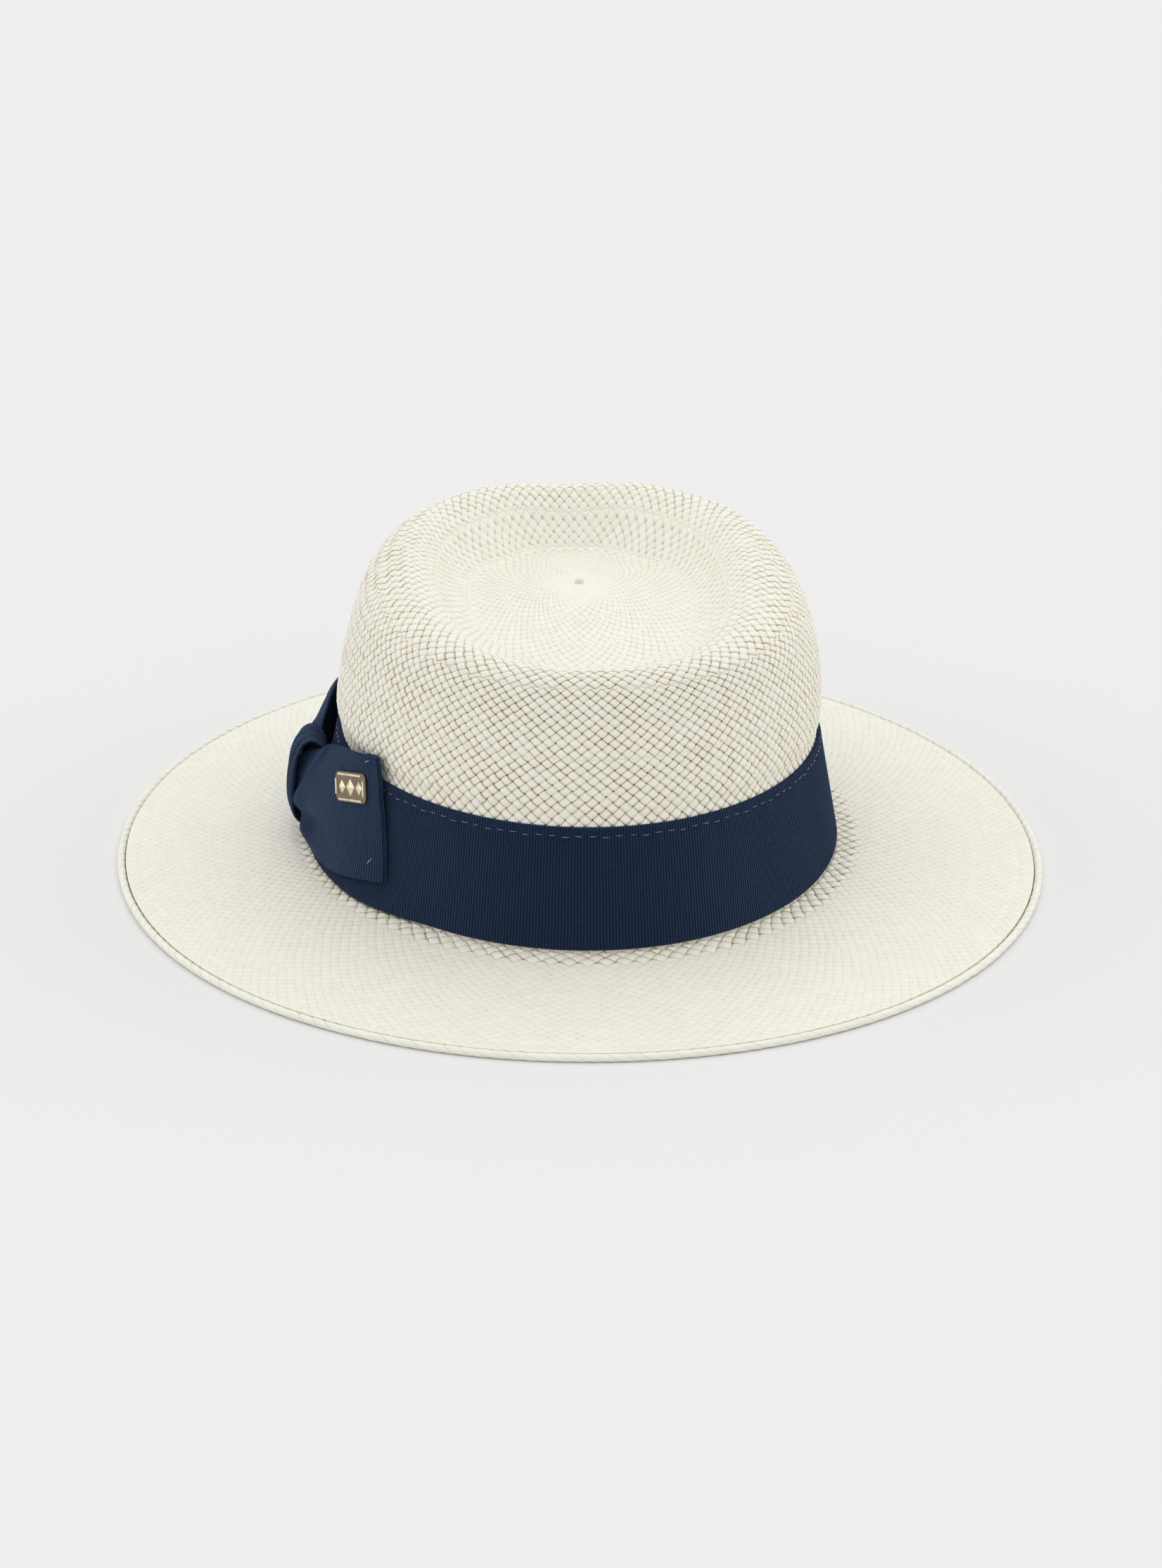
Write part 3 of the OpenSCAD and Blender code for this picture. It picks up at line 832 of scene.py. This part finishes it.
# The bow's wings as points of (angle, height, out): rows from the lower edge to the upper, each
# from the knot out to the hem and back under
NEAR_WING = [
    [
        (180.5, 5, 5.0), (183, 4.4, 6.4), (185.6, 3.2, 7.0), (190, 1.4, 4.9), (196.5, 1.8, 4.7),
        (202, 2.8, 5.0), (208, 4.5, 5.0), (214.5, 7.0, 4.6), (220.9, 9.4, 3.7),
        (221.5, 9.5, 3.1), (220.4, 9.3, 2.4), (214, 7.0, 3.4),
    ],
    [
        (180.3, 8.6, 8.0), (182.8, 8.6, 7.4), (185.4, 8.6, 7.0), (190, 9, 4.0),
        (196, 10.4, 3.6), (202, 10, 4.0), (207.8, 10, 4.8), (214, 12.4, 4.2),
        (220.2, 14.4, 3.5), (220.8, 14.5, 2.8), (219.7, 14.3, 2.1), (213.4, 12.4, 2.6),
    ],
    [
        (179.8, 12, 11.0), (182.2, 12.4, 10.0), (184.6, 12.8, 10.6), (189.5, 13.6, 7.6),
        (195.6, 15.4, 6.5), (201.4, 15.4, 5.7), (207.2, 16.4, 4.6), (213.2, 18.4, 3.8),
        (219.2, 20, 3.2), (219.8, 20.1, 2.5), (218.7, 19.9, 1.7), (212.6, 18.2, 2.0),
    ],
    [
        (179.8, 17, 11.5), (182.6, 17.6, 9.4), (185.6, 18.6, 9.6), (190, 21, 7.7),
        (195, 23.2, 6.2), (200.8, 24, 5.0), (206.6, 25, 4.0), (212.4, 26, 3.4),
        (217.6, 27, 2.9), (218.2, 27.1, 2.2), (217.1, 26.9, 1.5), (211.8, 26, 1.6),
    ],
    [
        (179.8, 22, 11.5), (183.2, 22.6, 8.6), (187.4, 25, 7.9), (191, 27.4, 7.0),
        (195.2, 30, 6.0), (200.6, 31.2, 4.9), (206.4, 32.2, 3.9), (211.6, 33.4, 3.3),
        (216, 34, 3.0), (216.6, 34.1, 2.3), (215.5, 33.9, 1.6), (211, 33.2, 1.7),
    ],
    [
        (180.2, 26, 10.2), (184.2, 27.6, 6.6), (188.9, 31, 6.0), (191.6, 32.6, 5.4),
        (195.4, 35, 5.2), (200.6, 36.8, 4.6), (206.6, 38.2, 4.2), (211.4, 39.4, 4.0),
        (215.4, 40, 3.8), (216, 40.1, 3.1), (214.9, 39.9, 2.4), (210.8, 39.2, 2.4),
    ],
    [
        (181.6, 28.4, 5.6), (186, 31.4, 4.6), (190.4, 35.6, 4.8), (192.9, 37.7, 4.8),
        (196, 39.4, 4.9), (200.7, 41.7, 5.0), (207.7, 44, 5.0), (212, 45.4, 5.0),
        (214.8, 46, 5.0), (215.4, 46, 4.3), (214.3, 45.9, 3.6), (210, 44.6, 3.4),
    ],
]
FAR_WING = [
    [
        (178, 6, 6), (173, 3.2, 7.5), (166.5, 2.4, 7.6), (161, 2.6, 6.9), (155.5, 3, 5.8),
        (149.5, 3.6, 5.0), (141.4, 4.6, 4.2), (140.8, 4.6, 3.6), (142, 4.6, 3.0),
        (150, 3.6, 3.7),
    ],
    [
        (178, 13, 9), (173, 12, 9.6), (166.6, 12.5, 8.7), (161.5, 14, 7.4), (156, 15, 6.0),
        (150, 15.4, 4.6), (142.8, 15.6, 3.2), (142.2, 15.6, 2.6), (143.4, 15.5, 1.9),
        (151, 15.2, 2.6),
    ],
    [
        (178, 20, 10), (173, 22, 10.2), (167, 23, 8.9), (162, 25, 7.8), (157, 26.4, 6.6),
        (151, 27, 5.0), (144.2, 27, 3.0), (143.6, 27, 2.4), (144.8, 26.9, 1.6),
        (152, 26.6, 2.0),
    ],
    [
        (178, 26.6, 9.0), (173.2, 29, 9.3), (168, 29.8, 8.0), (163.5, 32.6, 7.4),
        (158.5, 34.6, 7.5), (152, 35.8, 6.0), (145.6, 36, 3.8), (145, 36, 3.2),
        (146.2, 35.9, 2.4), (153, 35.4, 2.6),
    ],
    [
        (178, 30, 5.2), (173.5, 31.4, 4.9), (168.5, 34, 4.9), (164.2, 37, 5.1),
        (159.5, 39.4, 5.2), (153, 41.4, 5.2), (147, 42.6, 4.9), (146.4, 42.6, 4.2),
        (147.6, 42.5, 3.4), (154, 41.2, 3.4),
    ],
]


class OBJECT_OT_fedora_bow(bpy.types.Operator):
    """Fold the bow's wings, wrap the knot and tack the corners"""

    bl_idname = "fedora.bow"
    bl_label = "Bow"

    def execute(self, context):
        folded_ribbon("bow_near_fold", NEAR_WING, "bow_near_wing")
        folded_ribbon("bow_far_fold", FAR_WING, "bow_far_wing")
        self.knot()
        self.tacks()
        return {"FINISHED"}

    def knot(self):
        """The strap's ribs run around the hat, and its pleats run over the bow."""
        over = fine_rows(
            [
                (26.5, 2.6), (30.2, 4.8), (32.4, 8.2), (31.6, 11.2), (27.4, 12.8), (21.6, 13.0),
                (15, 12.4), (9.8, 11.2), (6.2, 9.4), (4.4, 7.2), (4.8, 5.2),
            ],
            150,
        )
        length = running(steps(over, 0))
        want = np.linspace(0, length[-1], int(length[-1] * 4))
        high = np.interp(want, length, over[:, 0])[None, :]
        away = np.interp(want, length, over[:, 1])[None, :]
        x = np.linspace(-1, 1, 45)[:, None]
        middle = np.sin(np.pi * want / length[-1])[None, :]
        spread = 4.5 - 0.6 * bump(high - 14, 12)
        pleats = np.abs(np.sin(1.55 * np.pi * (x + 0.18 * np.sin(high / 9.0))))
        fold = middle**0.6 * (1.0 * pleats - 1.6 * np.abs(x) ** 3 - 0.4)
        t = np.radians(179.2 + spread * x + 0.4 * np.sin(high / 11.0) * middle)
        points = on_band(t, high + 0 * x, away + fold * np.clip(away / 6, 0, 1))
        uv = np.stack([want + 0 * x, 8.5 * (x + 1) + 0 * want], -1)
        grid, grid_uv = cloth_slab(points, FOLD_T, uv, rib_rise(want, 0.10)[None, :] + 0 * x)
        piece = skins("bow_strap", [grid], {"rib": [grid_uv]})
        finish_piece(piece, ribbon_material(), "bow_knot")

    def tacks(self):
        """Short slanted stitches at the wings' corners."""
        stitches = []
        for t, z, out, lean in (
            (217, 14, 4.3, 1.0),
            (212.4, 43.6, 5.3, 0.5),
            (145, 12, 4.2, -1.0),
            (148.4, 40.4, 5.4, -0.6),
        ):
            s = np.linspace(-1, 1, 7)
            path = on_band(np.radians(t + 0.55 * s), z + lean * 1.1 * s, out + 0.25 - 0.5 * s**4)
            stitches.append(tube(path, 0.2 - 0.12 * s**4, 7))
        piece = skins("bow_tacks", stitches)
        thread = yarn("tack_thread", (0.14, 0.12, 0.20), (0.34, 0.31, 0.45))
        finish_piece(piece, thread, "bow_tack_stitches")


# ---------------------------------------------------------------- badge
def badge_place():
    """From the badge's own frame, face along +Z, to the hat's, in metres."""
    place = Matrix.Translation([float(c) * MM for c in on_band(math.radians(207), 32.0, 4.08)])
    for degrees, axis in ((208, "Z"), (83, "Y"), (105, "Z")):
        place = place @ Matrix.Rotation(math.radians(degrees), 4, axis)
    return place


def soften(bm, edges, width, segments):
    """Round off edges of a mesh."""
    bmesh.ops.bevel(
        bm, geom=edges, offset=width, offset_type="OFFSET", segments=segments, profile=0.5,
        affect="EDGES", material=-1,
    )


def block(bm, size, at, corner, rim, segments):
    """A block added to a mesh, in millimetres, with its corners and its upper rim softened."""
    others = set(bm.edges)
    made = bmesh.ops.create_cube(bm, size=1.0)["verts"]
    bmesh.ops.scale(bm, vec=size, verts=made)
    bmesh.ops.translate(bm, vec=at, verts=made)
    if corner:
        own = [e for e in bm.edges if e not in others]
        soften(bm, [e for e in own if abs((e.verts[0].co - e.verts[1].co).z) > 1e-4], corner, 6)
    own = [e for e in bm.edges if e not in others]
    top = at[2] + size[2] / 2 - 1e-4
    soften(bm, [e for e in own if min(v.co.z for v in e.verts) > top], rim, segments)


class OBJECT_OT_fedora_badge(bpy.types.Operator):
    """Make the small plain brass badge with its raised diamonds"""

    bl_idname = "fedora.badge"
    bl_label = "Badge"

    def execute(self, context):
        bm = bmesh.new()
        block(bm, (BADGE_W, BADGE_L, BADGE_T), (0, 0, BADGE_T / 2 + 0.1), 2.0, 0.2, 3)
        for side in (1, -1):
            block(bm, (14.4, 0.7, 0.6), (0, 4.0 * side, 1.05), 0, 0.2, 2)
            block(bm, (0.7, 5.0, 0.6), (8.7 * side, 0, 1.05), 0, 0.2, 2)
        for x, size in ((-5.4, 2.3), (0, 2.9), (5.4, 2.3)):
            diamond = bmesh.ops.create_cone(
                bm, cap_ends=True, segments=4, radius1=size, radius2=0.3, depth=0.7
            )
            bmesh.ops.translate(bm, vec=(x, 0, 1.1), verts=diamond["verts"])
        layer = bm.loops.layers.uv.new("raised")
        for face in bm.faces:
            raised = face.calc_center_median().z > BADGE_T + 0.12
            for loop in face.loops:
                loop[layer].uv = (float(raised), 0.0)
        bmesh.ops.scale(bm, vec=(MM, MM, MM), verts=bm.verts)
        bmesh.ops.transform(bm, matrix=badge_place(), verts=bm.verts)
        bmesh.ops.recalc_face_normals(bm, faces=bm.faces)
        piece = new_object("badge_plate", bm)
        brass = metal("antique_brass", (0.84, 0.75, 0.55), (0.16, 0.12, 0.07), 0.3, "raised")
        finish_piece(piece, brass, "badge")
        plain = metal("washer_brass", (0.6, 0.5, 0.3), (0.3, 0.24, 0.14), 0.4)
        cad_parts["badge_washer"].material_slots[0].material = plain
        return {"FINISHED"}


# ---------------------------------------------------------------- sweatband
def on_sweat(t, z, out):
    """A point of the leather's outer face, inside the crown, out mm away from it."""
    return on_band(t, z, out - BAND_T - GAP - STRAW_T - 0.7)


def closed_ring(name, section, waves=None):
    """A closed ring with the given section of (height, out), on the sweatband's line."""
    t = np.linspace(0, TAU, 361)[None, :]
    z, out = np.array(section + section[:1]).T[:, :, None]
    shift = waves(t, z) if waves else 0
    grid = on_sweat(t + 0 * z, z + 0 * t, out + shift)
    grid[:, -1] = grid[:, 0]
    return skins(name, [grid])


class OBJECT_OT_fedora_sweatband(bpy.types.Operator):
    """Line the opening with leather, its reed, its tape and its stitching"""

    bl_idname = "fedora.sweatband"
    bl_label = "Sweatband"

    def execute(self, context):
        levels = np.linspace(0.5, LEATHER_H - 0.1, 12)
        section = [(0.4, -0.15), *[(z, 0.0) for z in levels], (LEATHER_H, -0.2)]
        section += [(LEATHER_H, 0.2 - LEATHER_T), *[(z, -LEATHER_T) for z in levels[::-1]]]
        section += [(0.4, 0.15 - LEATHER_T)]

        def waves(t, z):
            return 0.10 * np.sin(7 * t + z / 9) * np.clip(z / LEATHER_H, 0, 1) * np.sin(3 * t)

        band = closed_ring("sweatband_leather", section, waves)
        tan = leather("sweatband_leather", (0.30, 0.16, 0.08), (0.46, 0.27, 0.14))
        finish_piece(band, tan, "sweatband")

        f = Finish("reed", Roughness=0.35, Transmission_Weight=0.2)
        f.colour(f.mix(f.noise(f.place(), 300.0), (0.75, 0.73, 0.68), (0.85, 0.83, 0.78)))
        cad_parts["sweatband_reed"].material_slots[0].material = f.material

        reed_z, reed_out = -1.9, -0.65
        turns = np.radians(np.arange(120, 421, 25))
        wrap = [
            (reed_z + r * np.sin(a), reed_out + r * np.cos(a))
            for r, path in ((1.4, turns), (1.08, turns[::-1]))
            for a in path
        ]
        tape = closed_ring("reed_tape_wrap", wrap)
        cotton = woven_cloth("reed_tape", (0.62, 0.56, 0.44), (0.76, 0.70, 0.58), 9000.0)
        finish_piece(tape, cotton, "reed_tape")

        count = 190
        dive = np.array([0.1, -0.12, -0.2, -0.12, 0.1])
        dashes = []
        for k in range(count):
            share = (k + np.linspace(-0.34, 0.34, len(dive))) / count
            path = on_sweat(share * TAU, 3.0 + 0 * share, -LEATHER_T - 0.1 + dive)
            dashes.append(tube(path, [0.08, 0.19, 0.21, 0.19, 0.08], 6))
        stitches = skins("sweatband_stitches", dashes)
        thread = yarn("sweatband_thread", (0.66, 0.58, 0.44), (0.82, 0.74, 0.6))
        finish_piece(stitches, thread, "sweatband_stitching")

        self.seam_strip()
        self.small_bow()
        self.label()
        return {"FINISHED"}

    def seam_strip(self):
        """A leather strip over the joint at the back, with a crease sunk along both sides."""
        x = np.linspace(-1, 1, 25)
        z = np.linspace(5, 31, 40)[:, None]
        t = np.radians(270 + 3.1 * x)[None, :]
        points = on_sweat(t + 0 * z, z + 0 * t, -1.32 + 0.08 * bump(x, 0.35)[None, :] + 0 * z)
        uv = np.zeros(points.shape[:2] + (2,))
        crease = -0.1 * bump(np.abs(x) - 0.8, 0.08)[None, :] + 0 * z
        grid, grid_uv = cloth_slab(points[:, ::-1], 0.5, uv, crease[:, ::-1])
        piece = skins("seam_strip", [grid], {"rib": [grid_uv]})
        brown = leather("seam_leather", (0.22, 0.11, 0.05), (0.36, 0.2, 0.1))
        finish_piece(piece, brown, "back_seam_tape")

    def small_bow(self):
        """A flat bow of narrow ribbon over the joint: two loops and a knot."""
        back, radius, middle = np.radians(270), 88.0, 27.5
        slabs = []
        for side in (-1, 1):
            s = np.linspace(0, 1, 60)[None, :]
            w = np.linspace(-1, 1, 9)[:, None]
            t = back + side * 11.0 * np.sin(np.pi * s) ** 0.8 / radius
            z = middle + w * (1.2 + 1.6 * np.sin(np.pi * s) ** 0.7)
            out = -2.0 - 0.9 * np.sin(TAU * s) - 0.15 * w**2
            uv = np.stack([s * 24 + 0 * w, 3 * w + 0 * s], -1)
            ribs = 0.04 * np.abs(np.sin(24 * np.pi * s)) + 0 * w
            slabs.append(cloth_slab(on_sweat(t + 0 * w, z, out + 0 * w), 0.3, uv, ribs))
        a = np.linspace(0, TAU, 41)[None, :]
        w = np.linspace(-1, 1, 7)[:, None]
        z, out = middle + 2.4 * np.sin(a), -2.3 + 1.1 * np.cos(a) + 0.1 * w**2
        knot = on_sweat(back + w * 1.7 / radius + 0 * a, z + 0 * w, out)
        knot[:, -1] = knot[:, 0]
        slabs.append(cloth_slab(knot, 0.3, np.stack([a * 2.4 + 0 * w, 1.7 * w + 0 * a], -1)))
        grids, uvs = zip(*slabs)
        piece = skins("inner_bow", grids, {"rib": uvs})
        finish_piece(piece, ribbon_material(), "sweatband_bow")

    def label(self):
        """A small blank woven label that hangs from its sewn upper edge."""
        angle = math.radians(LABEL_TURN)
        turn = math.atan2(100 * math.cos(angle), -82 * math.sin(angle))  # along the leather's oval
        top = on_sweat(angle, 21, -0.9 - 1.8)
        along = np.array([math.cos(turn), math.sin(turn), 0.0])
        inward = np.array([-math.sin(turn), math.cos(turn), 0.0])
        upward = np.array([0, 0, 1.0])
        half = LABEL_W / 2
        x = np.linspace(-half, half, 49)[None, :, None]
        drop = np.linspace(-0.3, LABEL_DROP, 32)[:, None, None]
        curl = 0.35 * np.sin(np.pi * np.clip(drop, 0, 15) / 15) * (1 - (x / 16) ** 2)
        points = top + x * along + inward * (curl + 0.12 * (x / half) ** 2) - drop * upward
        uv = np.concatenate([x + 0 * drop, drop + 0 * x], -1)
        grid, grid_uv = cloth_slab(points, 0.35, uv)
        a = np.linspace(0, TAU, 13)[:, None, None]
        hem = top + along * x + 0.42 * (np.cos(a) * inward + np.sin(a) * upward)
        hem[-1] = hem[0]
        ends = np.broadcast_to(hem.mean(0, keepdims=True), hem.shape)
        hem = np.concatenate([ends[:, :1], hem, ends[:, -1:]], axis=1)
        uvs = [grid_uv, np.zeros(hem.shape[:2] + (2,))]
        piece = skins("label_cloth", [grid, hem], {"rib": uvs})
        white = woven_cloth("label_cloth", (0.74, 0.73, 0.68), (0.88, 0.87, 0.82), 7000.0)
        finish_piece(piece, white, "size_label", body="label")


# ---------------------------------------------------------------- stage
class OBJECT_OT_fedora_stage(bpy.types.Operator):
    """Lay the floor and set the lights and the camera"""

    bl_idname = "fedora.stage"
    bl_label = "Stage"

    def execute(self, context):
        scene = context.scene
        s = scene.fedora_stage
        bm = bmesh.new()
        bmesh.ops.create_grid(bm, x_segments=2, y_segments=2, size=12.0)
        floor = new_object("floor", bm)
        f = Finish("floor", Roughness=1.0, Specular_IOR_Level=0.0)
        f.colour(f.mix(f.noise(f.place(), 3.0), s.floor, [0.997 * c for c in s.floor]))
        floor.data.materials.append(f.material)

        world = bpy.data.worlds.new("studio")
        world.use_nodes = True
        sky = world.node_tree.nodes["Background"]
        sky.inputs[0].default_value = (1.0, 1.0, 1.0, 1)
        sky.inputs[1].default_value = s.daylight
        scene.world = world
        for name, power, spread, at in (
            ("top_light", 0.42, 70, (0.25, 0.45, 1.0)),
            ("left_light", 0.30, 60, (-1.0, 0.15, 0.55)),
            ("right_light", 0.31, 60, (1.0, 0.25, 0.55)),
        ):
            data = bpy.data.lights.new(name, "SUN")
            data.energy, data.angle = power, math.radians(spread)
            lamp = bpy.data.objects.new(name, data)
            tilt, heading = math.atan2(math.hypot(at[0], at[1]), at[2]), math.atan2(at[1], at[0])
            lamp.rotation_euler = (tilt, 0, heading + math.pi / 2)
            scene.collection.objects.link(lamp)

        cam = bpy.data.cameras.new("camera")
        cam.lens, cam.clip_end = s.lens, 60
        cam.shift_x, cam.shift_y = 0.0021, 0.0238
        view = bpy.data.objects.new("camera", cam)
        away, yaw, up, roll = 1.2, math.radians(3.92), math.radians(22.45), math.radians(0.4)
        view.location = (
            -away * math.cos(up) * math.sin(yaw),
            CROWN_Y * MM - away * math.cos(up) * math.cos(yaw),
            FOOT_Z * MM + away * math.sin(up),
        )
        aim = Matrix.Rotation(-yaw, 3, "Z") @ Matrix.Rotation(math.pi / 2 - up, 3, "X")
        view.rotation_euler = (aim @ Matrix.Rotation(roll, 3, "Z")).to_euler()
        scene.collection.objects.link(view)
        scene.camera = view
        scene.view_settings.view_transform = "Standard"
        return {"FINISHED"}


class VIEW3D_PT_fedora(bpy.types.Panel):
    bl_label = "Straw Fedora"
    bl_space_type = "VIEW_3D"
    bl_region_type = "UI"
    bl_category = "Fedora"

    def draw(self, context):
        for step in STEPS:
            self.layout.operator(step.bl_idname)


GROUPS = {"fedora_straw": FedoraStraw, "fedora_ribbon": FedoraRibbon, "fedora_stage": FedoraStage}
STEPS = [
    OBJECT_OT_fedora_stage,
    OBJECT_OT_fedora_brim,
    OBJECT_OT_fedora_border,
    OBJECT_OT_fedora_crown,
    OBJECT_OT_fedora_band,
    OBJECT_OT_fedora_bow,
    OBJECT_OT_fedora_badge,
    OBJECT_OT_fedora_sweatband,
]


def register():
    for cls in (*GROUPS.values(), *STEPS, VIEW3D_PT_fedora):
        bpy.utils.register_class(cls)
    for name, cls in GROUPS.items():
        setattr(bpy.types.Scene, name, PointerProperty(type=cls))


def unregister():
    for name in GROUPS:
        delattr(bpy.types.Scene, name)
    for cls in (VIEW3D_PT_fedora, *reversed(STEPS), *GROUPS.values()):
        bpy.utils.unregister_class(cls)


def plain(box):
    return [[round(float(c), 6) for c in corner] for corner in box]


def main():
    register()
    for step in STEPS:
        group, name = step.bl_idname.split(".")
        getattr(getattr(bpy.ops, group), name)()


if __name__ == "__main__":
    main()
